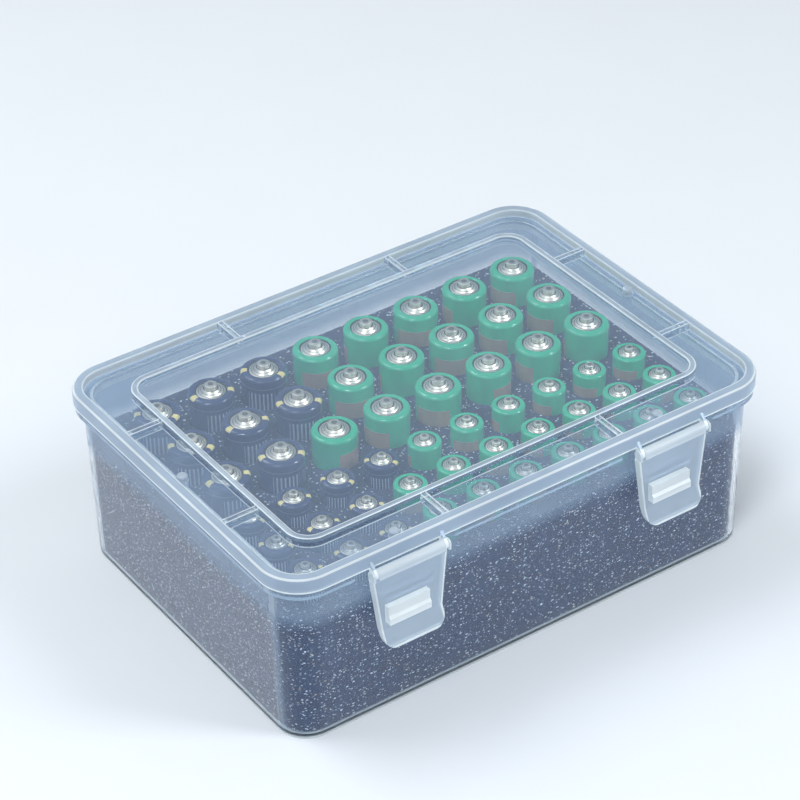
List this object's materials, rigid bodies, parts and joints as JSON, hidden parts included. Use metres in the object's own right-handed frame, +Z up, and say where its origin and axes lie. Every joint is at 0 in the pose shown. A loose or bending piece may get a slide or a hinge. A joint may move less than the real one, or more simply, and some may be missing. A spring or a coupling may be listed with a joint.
{
  "type": "battery storage case",
  "caption": "Translucent hinged plastic case with two front snap latches, holding round cells upright in a foam insert.",
  "frame": {"origin": "middle of the bounding box on the surface that the case stands on", "axes": "+X along the long front side to the right, +Y from the latches to the hinge, +Z up"},
  "size_m": [0.1736, 0.134, 0.0619],
  "materials": {
    "box_polypropylene": "translucent moulded polypropylene",
    "lid_polypropylene": "translucent moulded polypropylene",
    "latch_polypropylene": "translucent moulded polypropylene",
    "foam": "closed-cell foam, matte",
    "green_jacket": "glossy shrink jacket",
    "dark_jacket": "glossy shrink jacket",
    "can_steel": "nickel-plated steel",
    "cap_steel": "nickel-plated steel",
    "seal_nylon": "moulded nylon",
    "cell_filling": "pressed powder, hidden"
  },
  "bodies": {
    "case": {"base_box": "box_polypropylene", "foam_insert": "foam", "aa_green_sleeves": "green_jacket", "aa_dark_sleeves": "dark_jacket", "aaa_green_sleeves": "green_jacket", "aaa_dark_sleeves": "dark_jacket", "aa_green_cans": "can_steel", "aa_dark_cans": "can_steel", "aaa_green_cans": "can_steel", "aaa_dark_cans": "can_steel", "aa_green_seals": "seal_nylon", "aa_dark_seals": "seal_nylon", "aaa_green_seals": "seal_nylon", "aaa_dark_seals": "seal_nylon", "aa_green_caps": "cap_steel", "aa_dark_caps": "cap_steel", "aaa_green_caps": "cap_steel", "aaa_dark_caps": "cap_steel", "aa_cores": "cell_filling", "aaa_cores": "cell_filling"},
    "lid": {"lid": "lid_polypropylene"},
    "latch_left": {"latch_left": "latch_polypropylene"},
    "latch_right": {"latch_right": "latch_polypropylene"}
  },
  "joints": [
    {"name": "lid_hinge", "type": "hinge", "parent": "case", "child": "lid", "pos_m": [0, 0.0646, 0.0555], "axis": [-1, 0, 0], "range_deg": [0, 110]},
    {"name": "latch_left_hinge", "type": "hinge", "parent": "lid", "child": "latch_left", "pos_m": [-0.04684, -0.06395, 0.0553], "axis": [-1, 0, 0], "range_deg": [0, 135]},
    {"name": "latch_right_hinge", "type": "hinge", "parent": "lid", "child": "latch_right", "pos_m": [0.04684, -0.06395, 0.0553], "axis": [-1, 0, 0], "range_deg": [0, 135]}
  ]
}
